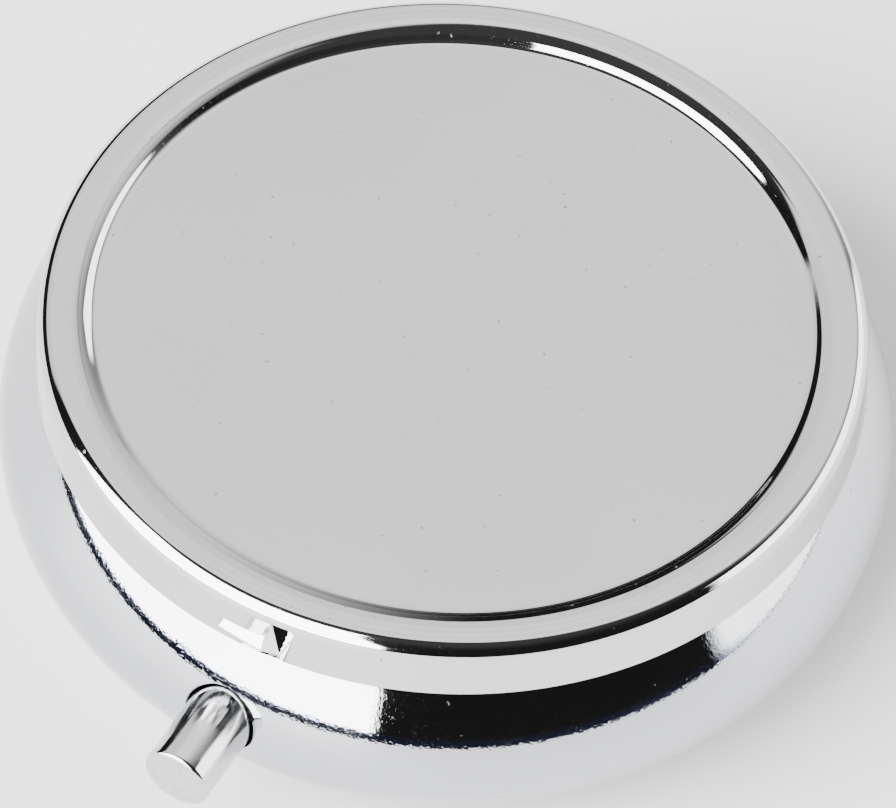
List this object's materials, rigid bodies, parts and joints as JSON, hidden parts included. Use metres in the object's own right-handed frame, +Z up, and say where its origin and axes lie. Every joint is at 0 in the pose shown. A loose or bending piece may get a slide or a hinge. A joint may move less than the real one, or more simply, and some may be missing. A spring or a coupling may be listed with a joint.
{
  "type": "pill organizer",
  "caption": "Round pocket pill box with a hinged lid, a push-button latch and a tray with three compartments.",
  "frame": {"origin": "centre of the flat underside", "axes": "+Z up through the lid, push button towards -Y, hinge towards +Y, hinge axis along X"},
  "size_m": [0.05, 0.0545, 0.0165],
  "materials": {
    "chrome": "bright chrome plate on stamped steel, with fine wear scratches",
    "steel": "drawn steel, satin",
    "spring_steel": "tempered spring steel, slightly blued",
    "tray_plastic": "white moulded polypropylene, fine satin"
  },
  "bodies": {
    "base": {"base_bowl": "chrome", "base_collar": "chrome", "pill_tray": "tray_plastic", "hinge_base_leaf": "chrome", "hinge_pin": "steel", "hinge_spring": "spring_steel", "latch_spring": "spring_steel", "latch_rivets": "steel"},
    "lid": {"lid_shell": "chrome", "hinge_lid_leaf": "chrome"},
    "button": {"button_cap": "chrome", "button_stem": "steel"}
  },
  "joints": [
    {"name": "lid_hinge", "type": "hinge", "parent": "base", "child": "lid", "pos_m": [0, 0.0235, 0.0128], "axis": [-1, 0, 0], "range_deg": [0, 110], "deforming": ["hinge_spring"]},
    {"name": "button_press", "type": "slide", "parent": "base", "child": "button", "axis": [0, 1, 0], "range_m": [0, 0.001], "stiffness_N_per_m": 2000, "deforming": ["latch_spring"]}
  ]
}
